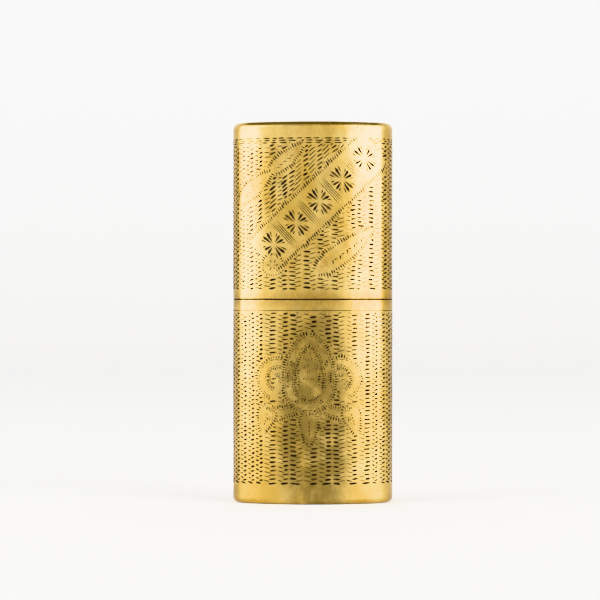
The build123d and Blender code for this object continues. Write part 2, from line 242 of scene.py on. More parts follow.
def aged_brass():
    """Hand-worn polish on the case: warm gold, with brown stains and fine scratches, a darker band
    along the joint, a painted dark reflection (partly tarnish) on the body's front, and painted shade
    on the narrow sides.
    """
    s = Shader("aged_brass", metallic=1.0)
    gold, pale, brown, painted_reflection_olive = (
        (0.42, 0.275, 0.066),
        (0.56, 0.41, 0.145),
        (0.24, 0.135, 0.034),
        (0.17, 0.120, 0.040),
    )
    cloud = s.steps(s.noise(0.16, 0.16, 0.10, detail=5, warp=0.6), 0.35, 0.72)
    colour = s.mix(cloud, gold, pale)
    fleck = s.steps(s.noise(0.9, detail=6, rough=0.7), 0.56, 0.76)
    colour = s.mix(s.maths("MULTIPLY", fleck, 0.55), colour, brown)
    stain = s.steps(s.noise(0.33, 0.33, 0.25, detail=6, rough=0.62, warp=1.0), 0.52, 0.74)
    colour = s.mix(s.maths("MULTIPLY", stain, 0.6), colour, brown)
    # Painted dark reflection, partly tarnish: the body's front middle is mixed towards olive, as if it
    # mirrored something dark in front of it.
    tarnish_and_painted_reflection = s.blob((0.6, -6.25, 14.0), (8.0, 7.0, 24.0), 0.5)
    tarnish_and_painted_reflection = s.maths("MULTIPLY", tarnish_and_painted_reflection, s.steps(s.noise(0.35, detail=5, rough=0.6), 0.1, 0.6))
    colour = s.mix(tarnish_and_painted_reflection, colour, painted_reflection_olive)
    place = s.node("SeparateXYZ", {0: s.scaled(1)}).outputs
    # Painted shade: the narrow sides, from 10.9 mm out, are mixed towards brown so that they look
    # darker.
    painted_side_shade = s.steps(s.maths("ABSOLUTE", place["X"]), 10.9, 12.6)
    colour = s.mix(s.maths("MULTIPLY", painted_side_shade, 0.55), colour, brown)
    up_scratch = s.noise(14, 14, 0.30, detail=3)
    streak = s.steps(up_scratch, 0.50, 0.78)
    colour = s.mix(s.maths("MULTIPLY", streak, 0.5), colour, brown)
    # Darker brown in a ragged band up to 1.5 mm either side of the joint.
    off_joint = s.maths("ABSOLUTE", s.maths("SUBTRACT", place["Z"], joint_z))
    joint_band = s.maths("MULTIPLY", s.steps(off_joint, 1.5, 0.1), s.noise(1.4, 1.4, 0.6, detail=4))
    colour = s.mix(s.maths("MULTIPLY", joint_band, 0.8), colour, brown)
    pits = s.steps(s.spots(1.1), 0.13, 0.05)
    pits = s.maths("MULTIPLY", pits, s.steps(s.noise(0.5, detail=2), 0.55, 0.7))
    colour = s.mix(s.maths("MULTIPLY", pits, 0.8), colour, (0.10, 0.06, 0.025))
    s.colour(colour)
    side_scratch = s.noise(1.2, 1.2, 14, detail=2)
    rough = s.steps(s.noise(0.5, detail=4), 0.3, 0.75, 0.15, 0.25)
    rough = s.maths("ADD", rough, s.maths("MULTIPLY", stain, 0.10))
    rough = s.maths("ADD", rough, s.maths("MULTIPLY", tarnish_and_painted_reflection, 0.12))
    rough = s.maths("ADD", rough, s.steps(up_scratch, 0.45, 0.8, 0.0, 0.10))
    s.roughness(rough)
    s.bump(
        (s.noise(0.22, 0.22, 0.16, detail=2), 0.10),
        (up_scratch, 0.0030),
        (s.steps(side_scratch, 0.60, 0.72), 0.0016),
        (pits, -0.02),
    )
    return s.material


def patina(name, dark, light):
    """Old dirt and tarnish in the cuts and seams."""
    s = Shader(name, metallic=0.0)
    s.surface.inputs["Specular IOR Level"].default_value = 0.12
    grain = s.steps(s.noise(4, detail=4, rough=0.7), 0.45, 0.75)
    s.colour(s.mix(grain, dark, light))
    s.roughness(s.steps(grain, 0, 1, 0.60, 0.85))
    return s.material


# ---- Engraving ----

CELL = 0.04  # of the map of what is cut already, in millimetres
LAND = 0.035  # of metal kept free round each cut


def directions(start, end):
    """Unit vectors along a line and to its left, and its length."""
    along = np.array(end, float) - np.array(start, float)
    length = float(np.hypot(*along))
    along /= max(length, 1e-12)
    return along, np.array([-along[1], along[0]]), length


class Engraving:
    """The cuts on one shell's unrolled strip, from height low to height high."""

    def __init__(self, low, high, seed):
        self.low, self.high = low, high
        self.random = random.Random(seed)
        self.columns = int(round_run / CELL)
        self.rows = int((high - low) / CELL)
        self.kept = np.zeros((self.rows, self.columns), bool)
        self.done = np.zeros((self.rows, self.columns), bool)
        self.cuts = []
        self.v, self.u = np.meshgrid(
            low + (np.arange(self.rows) + 0.5) * CELL,
            -round_run / 2 + (np.arange(self.columns) + 0.5) * CELL,
            indexing="ij",
        )

    def cells(self, u, v):
        column = ((np.asarray(u) + round_run / 2) / CELL).astype(int)
        row = ((np.asarray(v) - self.low) / CELL).astype(int)
        inside = (row >= 0) & (row < self.rows) & (column >= 0) & (column < self.columns)
        return np.clip(row, 0, self.rows - 1), np.clip(column, 0, self.columns - 1), inside

    def keep(self, mask):
        """Leaves this part of the strip to an ornament."""
        self.kept |= mask

    def cut(self, start, end, wide_start, wide_end, bow=0.0, over_kept=False, shortest=0.22):
        """One graver's cut, as wide as said a quarter in from each end, trimmed to free metal."""
        along, across, length = directions(start, end)
        if length < shortest:
            return
        share = np.linspace(0, 1, max(3, int(length / CELL * 1.3)))
        line = start + np.outer(share * length, along)
        line += np.outer(bow * 4 * share * (1 - share), across)
        half = 0.5 * (wide_start + (wide_end - wide_start) * share)
        sides = np.stack([line + np.outer(half * k, across) for k in (-1, 0, 1)])
        row, column, inside = self.cells(sides[..., 0], sides[..., 1])
        busy = self.done[row, column] | ~inside
        if not over_kept:
            busy |= self.kept[row, column]
        free = ~busy.any(0)
        if not free.any():
            return
        edges = np.flatnonzero(np.diff(np.concatenate([[0], free.astype(int), [0]])))
        runs = edges.reshape(-1, 2)
        first, last = runs[np.argmax(runs[:, 1] - runs[:, 0])]
        if share[last - 1] - share[first] < shortest / length:
            return
        low, high = share[first], share[last - 1]
        stations = [low, low + (high - low) * 0.28, low + (high - low) * 0.72, high]
        spine = [
            start + s * length * along + bow * 4 * s * (1 - s) * across for s in stations
        ]
        widths = [0.5 * (wide_start + (wide_end - wide_start) * s) for s in stations]
        self.cuts.append((spine, widths, across, self.random.random()))
        for k in np.linspace(-1, 1, 7):
            span = sides[1] + np.outer((half + LAND) * k, across)
            row, column, inside = self.cells(span[first:last, 0], span[first:last, 1])
            self.done[row[inside], column[inside]] = True

    def wriggle(self, centre, half, low, high, pitch, thick, thin, style, tilt=None):
        """A column of zigzag cuts round the line u = centre, from one height to another."""
        rng = self.random
        v = low
        side = -1 if style == "left" else 1
        before = None
        while v < high:
            lean = math.tan(tilt(centre, v)) if tilt else 0.0
            reach = half * rng.uniform(0.92, 1.08)
            point = (centre + side * reach, v + side * reach * lean + rng.uniform(-0.02, 0.02))
            outward = side == (1 if style == "left" else -1)
            if before is not None:
                heavy = thick * rng.uniform(0.8, 1.25)
                light = thin * rng.uniform(0.7, 1.3)
                if style == "lens":
                    ends = (heavy, heavy * 0.5) if outward else (heavy * 0.5, heavy)
                else:
                    ends = (heavy, heavy * 0.6) if outward else (light, light)
                self.cut(before, point, *ends, bow=rng.uniform(-0.03, 0.03))
            before = point
            rise = 0.5 if style == "lens" else (0.72 if outward else 0.28)
            v += pitch * rise * rng.uniform(0.92, 1.08)
            side = -side

    def contour(self, points, thick):
        """A fine line through a run of points, as a chain of short cuts."""
        for start, end in zip(points[:-3:3], points[3::3]):
            self.cut(start, end, thick, thick, over_kept=True)

    def ticks(self, points, length, spacing, thick, side=1, lean=0.0, gap=0.06):
        """Short cuts out of one side of a line of points, like a comb's teeth."""
        points = np.asarray(points, float)
        steps = np.hypot(*np.diff(points, axis=0).T)
        run = np.concatenate([[0], np.cumsum(steps)])
        phase = self.random.uniform(0, 6.3)
        for at in np.arange(spacing / 2, run[-1], spacing):
            at = at + self.random.uniform(-0.1, 0.1) * spacing
            spot = np.array([np.interp(at, run, points[:, k]) for k in (0, 1)])
            ahead = np.array([np.interp(at + 0.05, run, points[:, k]) for k in (0, 1)])
            back = np.array([np.interp(at - 0.05, run, points[:, k]) for k in (0, 1)])
            along = ahead - back
            if np.hypot(*along) < 1e-6:
                continue
            along /= np.hypot(*along)
            out = side * np.array([-along[1], along[0]]) + lean * along
            stress = 1 + 0.35 * math.sin(1.9 * at + phase) * math.sin(0.7 * at + 2 * phase)
            size = length * stress * self.random.uniform(0.8, 1.2)
            wide = thick * stress * self.random.uniform(0.8, 1.2)
            self.cut(spot + out * gap, spot + out * (gap + size), wide, wide * 0.45,
                     over_kept=True, shortest=0.12)

    def leaf(self, root, tip, width, fullness, comb, gap, line=0.0):
        """Keeps a leaf's place, and edges it with ticks, and with a fine line where said."""
        mask, edges = leaf_mask(self, root, tip, width, fullness)
        self.keep(mask)
        for side, edge in zip((1, -1), edges):
            if line:
                self.contour(edge, line)
            self.ticks(edge, *comb, side=side, gap=gap)


def leaf_mask(field, root, tip, width, fullness):
    """A pointed leaf from root to tip, as a mask and as its two outlines."""
    along, across, length = directions(root, tip)
    s = ((field.u - root[0]) * along[0] + (field.v - root[1]) * along[1]) / length
    t = (field.u - root[0]) * across[0] + (field.v - root[1]) * across[1]
    inside = np.clip(s, 0, 1)
    half = width / 2 * np.sin(np.pi * inside**fullness) ** 0.85
    mask = (np.abs(t) < half) & (s > 0) & (s < 1)
    share = np.linspace(0.03, 0.97, 60)
    bulge = width / 2 * np.sin(np.pi * share**fullness) ** 0.85
    edges = [
        root + np.outer(share * length, along) + np.outer(k * bulge, across) for k in (1, -1)
    ]
    return mask, edges


def strand_mask(field, points, width):
    """The part of the strip within half a width of a line of points."""
    mask = np.zeros_like(field.kept)
    for spot in points:
        mask |= (field.u - spot[0]) ** 2 + (field.v - spot[1]) ** 2 < (width / 2) ** 2
    return mask


def offset_line(points, distance):
    """A line of points moved sideways, to the left of its run."""
    points = np.asarray(points, float)
    along = np.gradient(points, axis=0)
    along /= np.maximum(np.hypot(*along.T), 1e-9)[:, None]
    return points + distance * np.stack([-along[:, 1], along[:, 0]], -1)


def arc_points(centre, radius, start, end, count=40):
    """Points on an arc from a start to an end angle in degrees."""
    angle = np.radians(np.linspace(start, end, count))
    return np.stack([centre[0] + radius * np.cos(angle), centre[1] + radius * np.sin(angle)], -1)


def column_places(rng):
    """Middles and half widths of the zigzag columns round the whole case."""
    places = []
    u = -round_run / 2 + 0.05
    while u < round_run / 2 - 0.4:
        run = abs(u)
        on_face = run < face_run - 1.5 or run > face_run + side_run + 1.5
        width = rng.uniform(1.75, 2.35) if on_face else rng.uniform(1.15, 1.5)
        width = min(width, round_run / 2 - 0.05 - u)
        places.append((u + width / 2, width / 2 - 0.05, on_face))
        u += width
    return places


def zigzag_ground(field, tilt=None):
    """Fills what is left free with wriggled columns."""
    rng = field.random
    for centre, half, on_face in column_places(rng):
        style = rng.choice(("left", "right")) if on_face else "lens"
        pitch = rng.uniform(0.64, 0.70)
        thick = rng.uniform(0.32, 0.46) if on_face else rng.uniform(0.30, 0.38)
        start = field.low + 0.1 - 2.0 * bool(tilt)
        field.wriggle(centre, half, start, field.high + 2.0, pitch, thick, 0.13, style, tilt)


# ---- The two shells' ornaments ----


def engrave_cap():
    """The cap's ribbon of flowers, leaves and boss, on a ground of zigzags that lean with it."""
    field = Engraving(joint_z + cap_mouth_band, cap_high.z - cap_top_band, seed=7)
    rng = field.random

    # A ribbon laid across the front, with a chain of four-petalled flowers on it
    start, end = np.array([-7.9, field.low + 5.3]), np.array([9.9, field.high - 1.6])
    along, across, length = directions(start, end)
    half = 3.1
    s = (field.u - start[0]) * along[0] + (field.v - start[1]) * along[1]
    t = (field.u - start[0]) * across[0] + (field.v - start[1]) * across[1]
    field.keep((s > 0) & (s < length) & (np.abs(t) < half))
    for side in (-1, 1):
        edge = [start + along * k + across * side * half for k in np.linspace(0, length, 90)]
        field.ticks(edge, 0.75, 0.40, 0.26, side=side, lean=0.25 * side, gap=-0.15)
    flowers = 5
    for number in range(flowers):
        middle = start + along * length * (number + 0.5) / flowers
        for petal in range(4):
            turn = math.radians(90 * petal)
            out = math.cos(turn) * along + math.sin(turn) * across
            aside = np.array([-out[1], out[0]])
            tip = 2.25 if petal % 2 else 1.75
            for k in (-1, 1):
                field.cut(middle + out * 0.35 + aside * k * 0.10,
                          middle + out * tip + aside * k * 0.45, 0.12, 0.55, over_kept=True)
                field.cut(middle + out * 1.0 + aside * k * 0.62,
                          middle + out * tip * 0.9 + aside * k * 0.95, 0.09, 0.26, over_kept=True)
        if number < flowers - 1:
            gap = middle + along * length / flowers / 2
            for k in range(4):
                line = gap + along * (k - 1.5) * 0.3
                reach = half - 0.25 - rng.uniform(0, 0.9)
                field.cut(line - across * reach, line + across * reach, 0.10, 0.13,
                          over_kept=True)

    # Two long leaves above it
    for root, tip, width in (
        ((-12.1, 46.6), (-6.4, 51.3), 2.3),
        ((-7.0, 50.9), (-1.3, 55.6), 2.0),
    ):
        field.leaf(root, tip, width, 0.8, (0.7, 0.39, 0.26), gap=-0.1)
        spine = np.array(tip) - np.array(root)
        for k in range(5):
            spot = np.array(root) + spine * (0.2 + 0.1 * k)
            field.cut(spot, spot + np.array([0.75, 0.1]), 0.08, 0.12, over_kept=True)

    # A leaf and a boss below it
    field.leaf((0.2, 35.6), (9.7, 42.5), 2.9, 0.75, (0.7, 0.40, 0.27), gap=-0.1)
    spine = np.array([9.5, 6.9])
    for share in (0.3, 0.42, 0.54, 0.66, 0.78):
        spot = np.array([0.2, 35.6]) + spine * share
        for side in (-1, 1):
            out = np.array([0.75, 0.2]) if side > 0 else np.array([0.1, -0.75])
            field.cut(spot, spot + out, 0.32, 0.08, over_kept=True)
    boss = np.array([-6.3, 36.9])
    field.keep(strand_mask(field, [boss], 2.9))
    field.ticks(arc_points(boss, 1.4, 0, 360), 0.5, 0.33, 0.22, side=-1)
    for k in range(6):
        out = np.array([math.cos(k * math.pi / 3), math.sin(k * math.pi / 3)])
        field.cut(boss + out * 0.3, boss + out * 0.95, 0.06, 0.2, over_kept=True)

    # Rows of level cuts under the plain top band
    for row in range(3):
        v = field.high - 0.18 - row * 0.34
        u = -round_run / 2 + 0.1 + row * 0.4
        while u < round_run / 2 - 1.4:
            size = rng.uniform(0.8, 1.6)
            field.cut((u, v), (u + size, v + rng.uniform(-0.05, 0.05)), 0.15, 0.25)
            u += size + rng.uniform(0.05, 0.3)

    def tilt(u, v):
        off = (u - start[0]) * across[0] + (v - start[1]) * across[1]
        if off < 0:
            share = math.exp(-((off / 3.5) ** 2)) * 0.4
        else:
            share = math.exp(-(((off - 4) / 7) ** 2))
        share *= min(1, max(0, (u + 13.5) / 6)) * min(1, max(0, (12.0 - u) / 4))
        return math.radians(38) * share

    zigzag_ground(field, tilt)
    return field


def engrave_body():
    """The body's knot of scrolls and leaves, on a ground of upright zigzag columns."""
    field = Engraving(body_foot_band, joint_z - body_mouth_band, seed=11)
    centre = np.array([-0.6, 18.6])

    # A knot of scrolls on a plain ground: a pointed loop, a scroll on each side and three leaves
    loop = np.array(
        [
            centre + [3.1 * math.sin(a) * (1 - 0.25 * math.cos(a)), 1.6 + 5.2 * math.cos(a)]
            for a in np.linspace(0, 2 * math.pi, 90)
        ]
    )
    strands = [(loop, 1.15)]
    for side in (-1, 1):
        scroll = [
            arc_points(centre + [side * 4.9, 0.8], 2.5, 90 - side * 160, 90 + side * 110, 50),
            arc_points(centre + [side * 4.9, 0.8], 1.15, 90 - side * 40, 90 + side * 170, 30),
        ]
        foot = np.array(
            [
                centre + [side * (1.2 + 5.6 * k), -3.2 - 3.6 * k + 2.2 * k * k]
                for k in np.linspace(0, 1, 30)
            ]
        )
        strands += [(scroll[0], 1.0), (scroll[1], 0.7), (foot, 1.0)]
    ground = strand_mask(field, [centre + [0, 1.5]], 9.6)
    for line, width in strands:
        ground |= strand_mask(field, line[::2], width + 0.9)
    leaves = [
        (centre + [side * 6.2, -3.4], centre + [side * 7.4, -7.4], 2.4) for side in (-1, 1)
    ]
    leaves.append((centre + [0, -4.2], centre + [0, -9.3], 2.2))
    for root, tip, width in leaves:
        field.leaf(root, tip, width, 0.6, (0.6, 0.38, 0.27), gap=0.04, line=0.1)
        for k in range(4):
            spot = root + (tip - root) * (0.3 + 0.12 * k)
            field.cut(spot, spot + (tip - root) * 0.09, 0.12, 0.18, over_kept=True)
    for line, width in strands:
        field.keep(strand_mask(field, line[::2], width))
        for side in (-1, 1):
            edge = offset_line(line, side * width / 2)
            field.contour(edge, 0.1)
            field.ticks(edge, 0.62, 0.38, 0.27, side=side, gap=0.04)
    field.keep(ground)
    rng = field.random
    for _ in range(130):
        u, v = centre[0] + rng.uniform(-2.4, 2.4), centre[1] + rng.uniform(-2.6, 5.6)
        field.cut((u, v), (u + rng.uniform(-0.04, 0.04), v + rng.uniform(0.3, 0.9)), 0.05,
                  0.07, over_kept=True)
    for row in range(3):
        for k in range(5):
            spot = centre + [-1.1 + 0.5 * k + 0.1 * row, 3.6 - 1.5 * row]
            field.cut(spot, spot + [0.12, 0.34], 0.14, 0.10, over_kept=True, shortest=0.1)

    zigzag_ground(field)
    return field


# ---- Engraved shells ----

ROUND_POINTS = 220
RIM_GAP = 0.02  # that the cuts keep from the strip's rim
GROUND_ROW = 0.42  # between the rows of points on uncut metal
DEEPEST_CUT = 0.11
CUT_DEPTH_SHARE = 0.62  # of a cut's half width
BROWN_SHARE = 0.75  # cuts with a shade above it are worn brown
WORN_REACH = 1.1  # inset up to which a ring follows the hand-worn surface
SLIVER = 1e-7  # area of the triangles left out
SAME_POINT = 2e-4  # apart, or less, are one point
SEAM_EDGE = 0.03  # of dark metal outside the mouths' chamfers


def swell(u, v, dents):
    """How far the hand-worn surface lies off the true one, and its slopes along u and v."""
    height = np.full_like(u, -0.02)
    slope_u = np.zeros_like(u)
    slope_v = np.zeros_like(u)
    for waves, rate, size, shift in (
        (7, 0.31, 0.0075, 0.4),
        (-5, 0.47, 0.006, 2.1),
        (11, -0.24, 0.003, 4.0),
        (3, 0.83, 0.003, 1.3),
    ):
        turn = 2 * math.pi * waves / round_run
        angle = turn * u + rate * v + shift
        height += size * np.sin(angle)
        slope_u += size * turn * np.cos(angle)
        slope_v += size * rate * np.cos(angle)
    for at_u, at_v, reach, depth in dents:
        du = ((u - at_u + round_run / 2) % round_run - round_run / 2) / reach
        dv = (v - at_v) / reach
        dip = -depth * np.exp(-du * du - dv * dv)
        height += dip
        slope_u -= 2 * du / reach * dip
        slope_v -= 2 * dv / reach * dip
    return height, slope_u, slope_v


def on_case(u, v, depth, dents):
    """Points on the case, and smooth normals, for unrolled places sunk by depth."""
    flat, normal = on_oval(u)
    height, slope_u, slope_v = swell(u, v, dents)
    points = np.column_stack([flat + normal * (height - depth)[:, None], v])
    along = np.column_stack([-normal[:, 1], normal[:, 0], np.zeros(len(u))])
    out = np.column_stack([normal, -slope_v]) - along * slope_u[:, None]
    return points, out / np.linalg.norm(out, axis=1)[:, None]


def triangulate(field, around):
    """The strip's triangles, with the cuts' outlines and valleys as edges.

    No cut reaches the strip's rim, so that no triangle lies outside it."""
    places, depths, shades = [], [], []

    def place(u, v, depth=0.0, shade=0.0):
        places.append((u, v))
        depths.append(depth)
        shades.append(shade)
        return len(places) - 1

    rows = int((field.high - field.low) / 0.5)
    heights = np.linspace(field.low, field.high, rows + 1)
    rim = [place(u, field.low) for u in around]
    rim += [place(around[-1], v) for v in heights[1:]]
    rim += [place(u, field.high) for u in around[-2::-1]]
    rim += [place(around[0], v) for v in heights[-2:0:-1]]
    links = list(zip(rim, rim[1:] + rim[:1]))
    near = field.done.copy()
    for shift in (-2, -1, 1, 2):
        near |= np.roll(field.done, shift, 0) | np.roll(field.done, shift, 1)
    spacing = around[1] - around[0]
    for row, v in enumerate(np.arange(field.low + 0.25, field.high - 0.15, GROUND_ROW)):
        for u in around[1:-1] + (row % 2) * spacing / 2:
            r, c, inside = field.cells(u, v)
            if inside and u < around[-1] - spacing / 2 and not near[r, c]:
                place(u, v)
    least = (around[0] + RIM_GAP, field.low + RIM_GAP)
    most = (around[-1] - RIM_GAP, field.high - RIM_GAP)
    for spine, widths, across, shade in field.cuts:
        spine = np.clip(spine, least, most)
        first, last = place(*spine[0]), place(*spine[3])
        valley = [
            place(*spine[k], min(DEEPEST_CUT, CUT_DEPTH_SHARE * widths[k]), shade)
            for k in (1, 2)
        ]
        left = [place(*np.clip(spine[k] + widths[k] * across, least, most)) for k in (1, 2)]
        right = [place(*np.clip(spine[k] - widths[k] * across, least, most)) for k in (2, 1)]
        outline = [first, *left, last, *right]
        links += zip(outline, outline[1:] + outline[:1])
        links += [(first, valley[0]), tuple(valley), (valley[1], last)]
    vertices, _, triangles, came_from, _, _ = delaunay_2d_cdt(
        [Vector(p) for p in places], links, [], 0, 1e-5
    )
    depth = np.array([max((depths[i] for i in ids), default=0.0) for ids in came_from])
    shade = np.array([max((shades[i] for i in ids), default=0.0) for ids in came_from])
    flat = np.array([places[ids[0]] if ids else tuple(p) for p, ids in zip(vertices, came_from)])
    return flat, depth, shade, np.array(triangles)


def profile_rings(profile, around, dents):
    """Points, normals and kind of each ring of a profile of (inset, z, slope, kind).

    A ring's slope is its surface's lean in degrees: 0 faces outward, 90 up, 180 inward."""
    flat, normal = on_oval(around)
    rings = []
    for inset, z, slope, kind in profile:
        v = np.full(len(around), float(z))
        if kind == "worn":
            points, out = on_case(around, v, 0.0, dents)
        else:
            worn = kind != "inner" and inset < WORN_REACH
            lift = swell(around, v, dents)[0] if worn else np.zeros(len(around))
            points = np.column_stack([flat - normal * (inset - lift)[:, None], v])
            lean = math.radians(slope)
            out = np.column_stack([normal * math.cos(lean), np.full(len(v), math.sin(lean))])
        rings.append((points, out, kind))
    return rings


def joined(points, faces, materials, normals):
    """The same mesh with points that coincide made one, and without faces that vanish."""
    _, keep, merged = np.unique(
        np.round(points / SAME_POINT).astype(np.int64),
        axis=0,
        return_index=True,
        return_inverse=True,
    )
    merged = merged.reshape(-1)
    out_faces, out_materials, out_normals = [], [], []
    for face, material, corners in zip(faces, materials, normals):
        seen, kept = [], []
        for corner, point in enumerate(face):
            if merged[point] not in seen:
                seen.append(int(merged[point]))
                kept.append(corners[corner])
        if len(seen) > 2:
            out_faces.append(seen)
            out_materials.append(material)
            out_normals += kept
    return points[keep], out_faces, out_materials, out_normals


def engraved_shell(name, field, below, above, body, node, dents, closed):
    """A shell whose profile runs below its engraved strip, up the strip, and above it.

    A closed one ends in a flat face inside and outside. The other's profile ends where it began."""
    around = -round_run / 2 + round_run * np.arange(ROUND_POINTS + 1) / ROUND_POINTS
    flat, depth, shade, triangles = triangulate(field, around)
    strip, strip_out = on_case(flat[:, 0], flat[:, 1], depth, dents)
    a, b, c = (flat[triangles[:, k]] for k in range(3))
    area = (b[:, 0] - a[:, 0]) * (c[:, 1] - a[:, 1]) - (b[:, 1] - a[:, 1]) * (c[:, 0] - a[:, 0])
    triangles[area < 0] = triangles[area < 0][:, ::-1]
    triangles = triangles[np.abs(area) > SLIVER]

    points = [strip]
    faces, face_materials, corner_normals = [], [], []
    cut = depth[triangles].max(1) > 0
    deep_shade = shade[triangles].max(1)
    p, q, r = (strip[triangles[:, k]] for k in range(3))
    flat_out = np.cross(q - p, r - p)
    flat_out /= np.maximum(np.linalg.norm(flat_out, axis=1), 1e-12)[:, None]
    for k, face in enumerate(triangles):
        faces.append(tuple(int(i) for i in face))
        face_materials.append((2 if deep_shade[k] > BROWN_SHARE else 1) if cut[k] else 0)
        corner_normals.append([flat_out[k]] * 3 if cut[k] else strip_out[face])

    first = len(strip)
    around = around[:-1]
    count = len(around)
    for profile in (below, above):
        rings = profile_rings(profile, around, dents)
        points += [ring_points for ring_points, _, _ in rings]
        for number in range(len(rings) - 1):
            (low_points, low_out, low_kind), (_, high_out, high_kind) = rings[number : number + 2]
            dark = "seam" in (low_kind, high_kind)
            for k in range(count):
                after = (k + 1) % count
                start = first + number * count
                faces.append((start + k, start + after, start + count + after, start + count + k))
                face_materials.append(1 if dark else 0)
                corner_normals.append([low_out[k], low_out[after], high_out[after], high_out[k]])
        if closed:
            at_start = profile is below
            ring = 0 if at_start else len(rings) - 1
            loop = [first + ring * count + k for k in range(count)]
            faces.append(tuple(loop[::-1] if profile[ring][2] < 0 else loop))
            face_materials.append(0)
            corner_normals.append([rings[ring][1][0]] * count)
        first += len(rings) * count

    points, *rest = joined(np.concatenate(points), faces, face_materials, corner_normals)
    out_faces, out_materials, out_normals = rest
    piece = mesh_piece(name, points, out_faces, body, shell_materials,
                       out_materials, out_normals)
    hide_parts(node)


def fillet_rings(radius, z, start, end):
    """Rings round an outer edge's rounding, whose circle's centre is at height z."""
    return [
        (radius * (1 - math.cos(math.radians(a))), z + radius * math.sin(math.radians(a)), a, "plain")
        for a in np.linspace(start, end, 7)
    ]


shell_materials = [
    aged_brass(),
    patina("cut_patina", (0.006, 0.004, 0.003), (0.035, 0.022, 0.008)),
    patina("cut_patina_worn", (0.03, 0.017, 0.006), (0.11, 0.065, 0.02)),
]

cap_field = engrave_cap()
cap_rim = cap_high.z - cap_edge_radius
cap_ceiling = cap_high.z - cap_top_wall
inner_radius = cap_edge_radius - cap_wall
mouth = joint_z + mouth_chamfer
cap_below = [
    (3.8, cap_ceiling, -90, "inner"),
    *[
        (cap_wall + inner_radius * (1 - math.cos(math.radians(a))),
         cap_ceiling - inner_radius * (1 - math.sin(math.radians(a))), 180 + a, "inner")
        for a in (90, 60, 30, 0)
    ],
    (cap_wall, joint_z, 180, "inner"),
    (cap_wall, joint_z, -90, "plain"),
    (mouth_chamfer + SEAM_EDGE, joint_z, -90, "plain"),
    (mouth_chamfer + SEAM_EDGE, joint_z, -45, "seam"),
    (0.0, mouth + SEAM_EDGE, -30, "plain"),
    (0.0, mouth + 0.12, 0, "worn"),
    (0.0, (mouth + cap_field.low) / 2, 0, "worn"),
    (0.0, cap_field.low, 0, "worn"),
]
cap_above = [
    (0.0, cap_field.high, 0, "worn"),
    (0.0, (cap_rim + cap_field.high) / 2, 0, "worn"),
    *fillet_rings(cap_edge_radius, cap_rim, 0, 90),
    (2.4, cap_high.z, 90, "plain"),
    (3.9, cap_high.z, 90, "plain"),
]
cap_dents = [(9.4, 54.9, 0.9, 0.02), (-3.2, 34.6, 1.4, 0.02), (-11.2, 57.4, 1.1, 0.03),
             (6.8, 57.3, 0.8, 0.018), (1.5, 47.0, 3.0, 0.02), (20.0, 40.0, 3.5, 0.03)]
engraved_shell("cap_case", cap_field, cap_below, cap_above, "cap", "cap_shell", cap_dents,
               closed=True)

body_field = engrave_body()
foot = base_edge_radius
lip = lip_thickness
body_below = [
    (lip_inset, lip, 180, "inner"),
    (lip_inset, 0.0, 180, "inner"),
    (lip_inset, 0.0, -90, "inner"),
    *fillet_rings(foot, foot, -90, 0),
    (0.0, (foot + body_field.low) / 2, 0, "worn"),
    (0.0, body_field.low, 0, "worn"),
]
line_z = joint_z - 1.72  # a line scribed round under the mouth
body_above = [
    (0.0, body_field.high, 0, "worn"),
    (0.0, line_z - 0.09, 0, "worn"),
    (0.0, line_z - 0.05, 0, "worn"),
    (0.035, line_z, 0, "seam"),
    (0.0, line_z + 0.05, 0, "worn"),
    (0.0, line_z + 0.09, 0, "worn"),
    (0.0, joint_z - mouth_chamfer - 0.12, 0, "worn"),
    (0.0, joint_z - mouth_chamfer - SEAM_EDGE, 30, "plain"),
    (mouth_chamfer + SEAM_EDGE, joint_z, 45, "seam"),
    (mouth_chamfer + SEAM_EDGE, joint_z, 90, "plain"),
    (body_wall, joint_z, 90, "plain"),
    (body_wall, joint_z, 180, "inner"),
    (body_wall, lip, 180, "inner"),
    (body_wall, lip, 90, "inner"),
    (lip_inset, lip, 90, "inner"),
    body_below[0],
]
body_dents = [(-8.0, 1.9, 1.1, 0.03), (7.0, 28.6, 1.2, 0.02), (4.5, 14.0, 3.2, 0.025),
              (-13.5, 22.0, 2.2, 0.03), (22.0, 15.0, 4.0, 0.03), (10.8, 1.8, 0.9, 0.025)]
engraved_shell("body_case", body_field, body_below, body_above, "case", "lower_shell",
               body_dents, closed=False)

# ---- Fittings' materials, on the CAD's own shapes ----


def worn_metal(name, base, tarnish, rough, scratches=(14, 14, 0.5), tarnished=0.5):
    """Turned or drawn metal with soft tarnish clouds and fine scratches along one way."""
    s = Shader(name, metallic=1.0)
    cloud = s.steps(s.noise(0.45, detail=5, rough=0.62, warp=0.5), 0.42, 0.72)
    spot = s.steps(s.noise(2.2, detail=4, rough=0.7), 0.60, 0.78)
    share = s.maths("MAXIMUM", cloud, s.maths("MULTIPLY", spot, 0.8))
    s.colour(s.mix(s.maths("MULTIPLY", share, tarnished), base, tarnish))
    lines = s.noise(*scratches, detail=2)
    worn = s.steps(lines, 0.4, 0.75, rough, rough + 0.16)
    s.roughness(s.maths("ADD", worn, s.maths("MULTIPLY", share, 0.10)))
    s.bump((lines, 0.003), (s.noise(1.1, detail=3), 0.008))
    return s.material


def washer_fibre():
    s = Shader("washer_fibre", roughness=0.7)
    s.colour(s.mix(s.noise(3.5, 3.5, 9, detail=5), (0.16, 0.035, 0.018), (0.30, 0.075, 0.035)))
    s.bump((s.noise(6, detail=4), 0.012))
    return s.material


